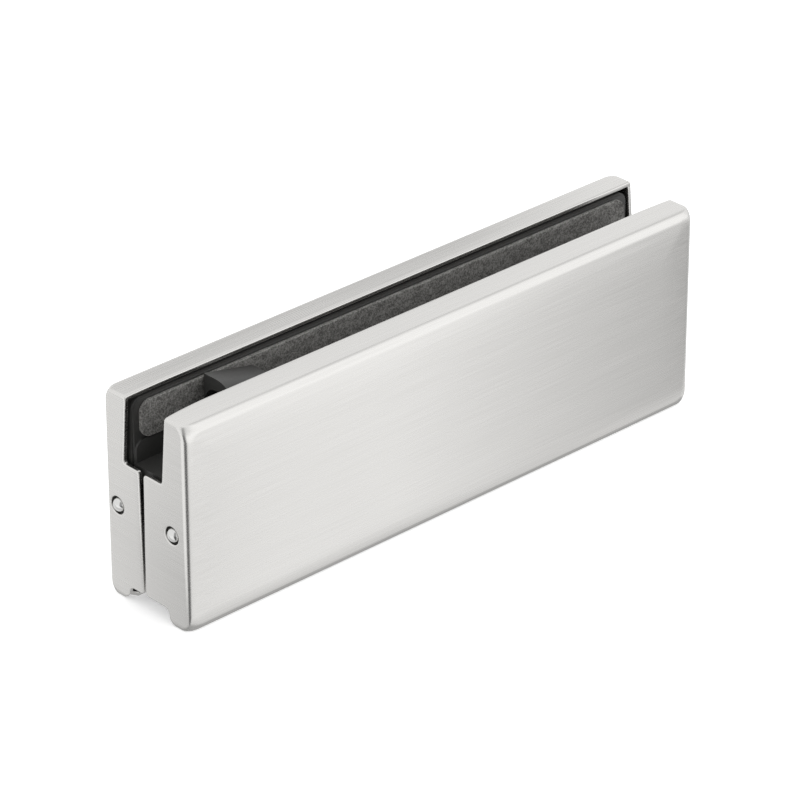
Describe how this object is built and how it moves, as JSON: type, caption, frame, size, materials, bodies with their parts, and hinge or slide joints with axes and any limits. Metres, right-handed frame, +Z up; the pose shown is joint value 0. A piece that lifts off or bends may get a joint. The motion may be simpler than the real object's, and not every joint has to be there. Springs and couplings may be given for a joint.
{
  "type": "glass door patch fitting",
  "caption": "Patch fitting that clamps the lower corner of a glass door: two pressed, brushed covers over a black clamp with a glass slot on top and a pivot bore below.",
  "frame": {"origin": "ground level under the middle of the fitting", "axes": "+X along the fitting, away from the pivot end; -Y out of the front face; +Z up into the glass slot"},
  "size_m": [0.1616, 0.029, 0.0525],
  "materials": {
    "brushed_cover": "satin stainless, brushed along the length on the faces and across the ends",
    "black_casting": "black coated die casting",
    "fibre_gasket": "grey pressed fibre",
    "dark_screw": "black oxide",
    "insert_steel": "machined, zinc plated",
    "bush_bronze": "turned bronze",
    "sleeve_steel": "turned steel",
    "plunger_steel": "polished",
    "spring_steel": "drawn wire"
  },
  "bodies": {
    "clamp": {"front_cover": "brushed_cover", "rear_cover": "brushed_cover", "front_clamp_body": "black_casting", "rear_clamp_body": "black_casting", "rear_gasket": "fibre_gasket", "front_gasket_short": "fibre_gasket", "front_gasket_long": "fibre_gasket", "lug_clamp_screw": "dark_screw", "low_clamp_screw": "dark_screw", "plunger_sleeve_front_left": "sleeve_steel", "plunger_spring_front_left": "spring_steel", "plunger_sleeve_front_right": "sleeve_steel", "plunger_spring_front_right": "spring_steel", "plunger_sleeve_rear_left": "sleeve_steel", "plunger_spring_rear_left": "spring_steel", "plunger_sleeve_rear_right": "sleeve_steel", "plunger_spring_rear_right": "spring_steel"},
    "pivot": {"pivot_insert": "insert_steel", "pivot_bush": "bush_bronze", "adjusting_screw_left": "dark_screw", "adjusting_screw_right": "dark_screw"},
    "plunger_front_left": {"plunger_front_left": "plunger_steel"},
    "plunger_front_right": {"plunger_front_right": "plunger_steel"},
    "plunger_rear_left": {"plunger_rear_left": "plunger_steel"},
    "plunger_rear_right": {"plunger_rear_right": "plunger_steel"}
  },
  "joints": [
    {"name": "pivot_adjust", "type": "slide", "parent": "clamp", "child": "pivot", "axis": [1, 0, 0], "range_m": [-0.002, 0.002]},
    {"name": "press_front_left", "type": "slide", "parent": "clamp", "child": "plunger_front_left", "axis": [1, 0, 0], "range_m": [0, 0.0019], "stiffness_N_per_m": 1500, "springref_m": -0.001, "deforming": ["plunger_spring_front_left"]},
    {"name": "press_front_right", "type": "slide", "parent": "clamp", "child": "plunger_front_right", "axis": [-1, 0, 0], "range_m": [0, 0.0019], "stiffness_N_per_m": 1500, "springref_m": -0.001, "deforming": ["plunger_spring_front_right"]},
    {"name": "press_rear_left", "type": "slide", "parent": "clamp", "child": "plunger_rear_left", "axis": [1, 0, 0], "range_m": [0, 0.0019], "stiffness_N_per_m": 1500, "springref_m": -0.001, "deforming": ["plunger_spring_rear_left"]},
    {"name": "press_rear_right", "type": "slide", "parent": "clamp", "child": "plunger_rear_right", "axis": [-1, 0, 0], "range_m": [0, 0.0019], "stiffness_N_per_m": 1500, "springref_m": -0.001, "deforming": ["plunger_spring_rear_right"]}
  ]
}
